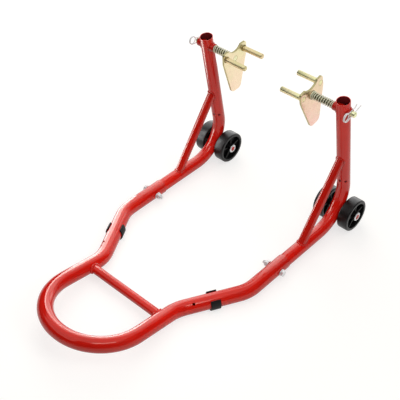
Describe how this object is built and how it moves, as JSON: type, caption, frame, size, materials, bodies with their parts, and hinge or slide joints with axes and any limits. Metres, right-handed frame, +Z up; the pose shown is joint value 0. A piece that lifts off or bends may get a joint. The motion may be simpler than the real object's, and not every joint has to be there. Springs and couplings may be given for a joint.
{
  "type": "paddock stand",
  "caption": "Rear paddock stand of bent red steel tube: looped handle with a crossbar, braced uprights on small black wheels, and sprung fork plates that hold a motorcycle's swingarm.",
  "frame": {"origin": "middle of the footprint, on the floor", "axes": "+X to the stand's right, +Y from the handle towards the wheels, +Z up"},
  "size_m": [0.4662, 0.7319, 0.3667],
  "materials": {
    "red_paint": "gloss powder coat",
    "black_plastic": "satin moulded",
    "black_rubber": "matt",
    "bright_zinc": "bright zinc plate",
    "yellow_zinc": "yellow passivated zinc plate",
    "spring_zinc": "olive passivated zinc plate"
  },
  "bodies": {
    "frame": {"handle_tube": "red_paint", "handle_crossbar": "red_paint", "left_arm_tube": "red_paint", "left_brace": "red_paint", "left_pivot_sleeve": "red_paint", "left_axle": "red_paint", "left_clamp_bolt": "bright_zinc", "left_clamp_nut": "bright_zinc", "left_head_washer": "bright_zinc", "left_nut_washer": "bright_zinc", "left_foot": "black_rubber", "left_outer_push_nut": "bright_zinc", "left_inner_push_nut": "bright_zinc", "left_spring": "spring_zinc", "right_arm_tube": "red_paint", "right_brace": "red_paint", "right_pivot_sleeve": "red_paint", "right_axle": "red_paint", "right_clamp_bolt": "bright_zinc", "right_clamp_nut": "bright_zinc", "right_head_washer": "bright_zinc", "right_nut_washer": "bright_zinc", "right_foot": "black_rubber", "right_outer_push_nut": "bright_zinc", "right_inner_push_nut": "bright_zinc", "right_spring": "spring_zinc"},
    "left_seat": {"left_spring_seat": "spring_zinc"},
    "left_adapter": {"left_fork_plate": "yellow_zinc", "left_front_pin": "yellow_zinc", "left_back_pin": "yellow_zinc", "left_shaft": "yellow_zinc", "left_r_clip": "bright_zinc"},
    "left_outer_roller": {"left_outer_wheel": "black_plastic"},
    "left_inner_roller": {"left_inner_wheel": "black_plastic"},
    "right_seat": {"right_spring_seat": "spring_zinc"},
    "right_adapter": {"right_fork_plate": "yellow_zinc", "right_front_pin": "yellow_zinc", "right_back_pin": "yellow_zinc", "right_shaft": "yellow_zinc", "right_r_clip": "bright_zinc"},
    "right_outer_roller": {"right_outer_wheel": "black_plastic"},
    "right_inner_roller": {"right_inner_wheel": "black_plastic"}
  },
  "joints": [
    {"name": "left_outer_wheel_roll", "type": "hinge", "parent": "frame", "child": "left_outer_roller", "pos_m": [-0.21505, 0.32748, 0.0385], "axis": [1, 0, 0], "continuous": true},
    {"name": "left_inner_wheel_roll", "type": "hinge", "parent": "frame", "child": "left_inner_roller", "pos_m": [-0.15495, 0.32748, 0.0385], "axis": [1, 0, 0], "continuous": true},
    {"name": "left_adapter_slide", "type": "slide", "parent": "frame", "child": "left_seat", "axis": [-1, 0, 0], "range_m": [0, 0.03], "stiffness_N_per_m": 1500, "springref_m": -0.02, "deforming": ["left_spring"]},
    {"name": "left_adapter_swivel", "type": "hinge", "parent": "left_seat", "child": "left_adapter", "pos_m": [-0.1076, 0.28292, 0.3328], "axis": [1, 0, 0], "continuous": true},
    {"name": "right_outer_wheel_roll", "type": "hinge", "parent": "frame", "child": "right_outer_roller", "pos_m": [0.21505, 0.32748, 0.0385], "axis": [1, 0, 0], "continuous": true},
    {"name": "right_inner_wheel_roll", "type": "hinge", "parent": "frame", "child": "right_inner_roller", "pos_m": [0.14795, 0.32748, 0.0385], "axis": [1, 0, 0], "continuous": true},
    {"name": "right_adapter_slide", "type": "slide", "parent": "frame", "child": "right_seat", "axis": [1, 0, 0], "range_m": [0, 0.03], "stiffness_N_per_m": 1500, "springref_m": -0.02, "deforming": ["right_spring"]},
    {"name": "right_adapter_swivel", "type": "hinge", "parent": "right_seat", "child": "right_adapter", "pos_m": [0.1076, 0.28292, 0.3328], "axis": [1, 0, 0], "continuous": true}
  ]
}
